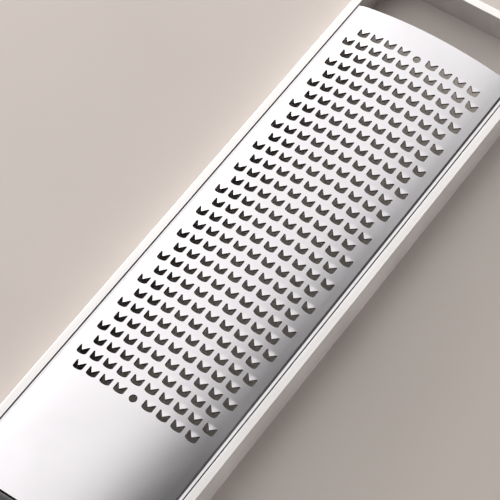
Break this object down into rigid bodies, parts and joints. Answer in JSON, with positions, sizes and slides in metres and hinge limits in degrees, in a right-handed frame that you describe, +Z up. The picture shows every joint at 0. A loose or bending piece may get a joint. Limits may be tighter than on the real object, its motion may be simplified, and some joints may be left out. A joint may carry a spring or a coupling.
{
  "type": "grater with sliding cover",
  "caption": "Hand grater with an arched steel plate of small raised teeth in a long bar frame, a dark handle and a clear cover that slides along the frame.",
  "frame": {"origin": "middle of the frame's length and width, on the table", "axes": "+Y from the handle to the tip, +Z up from the table"},
  "size_m": [0.0538, 0.3074, 0.015],
  "materials": {
    "frame_steel": "satin",
    "plate_steel": "bright satin",
    "handle_resin": "fine grain",
    "grip_inlay": "matt",
    "clear_cover": "clear"
  },
  "bodies": {
    "grater": {"frame_loop": "frame_steel", "grater_plate": "plate_steel", "ledge_left": "frame_steel", "ledge_right": "frame_steel", "handle_core": "handle_resin", "grip_inlay_top": "grip_inlay", "grip_inlay_bottom": "grip_inlay", "screw_left_front": "frame_steel", "screw_left_back": "frame_steel", "screw_right_front": "frame_steel", "screw_right_back": "frame_steel"},
    "cover": {"cover_shell": "clear_cover"}
  },
  "joints": [
    {"name": "cover_slide", "type": "slide", "parent": "grater", "child": "cover", "axis": [0, 1, 0], "range_m": [0, 0.154]}
  ]
}
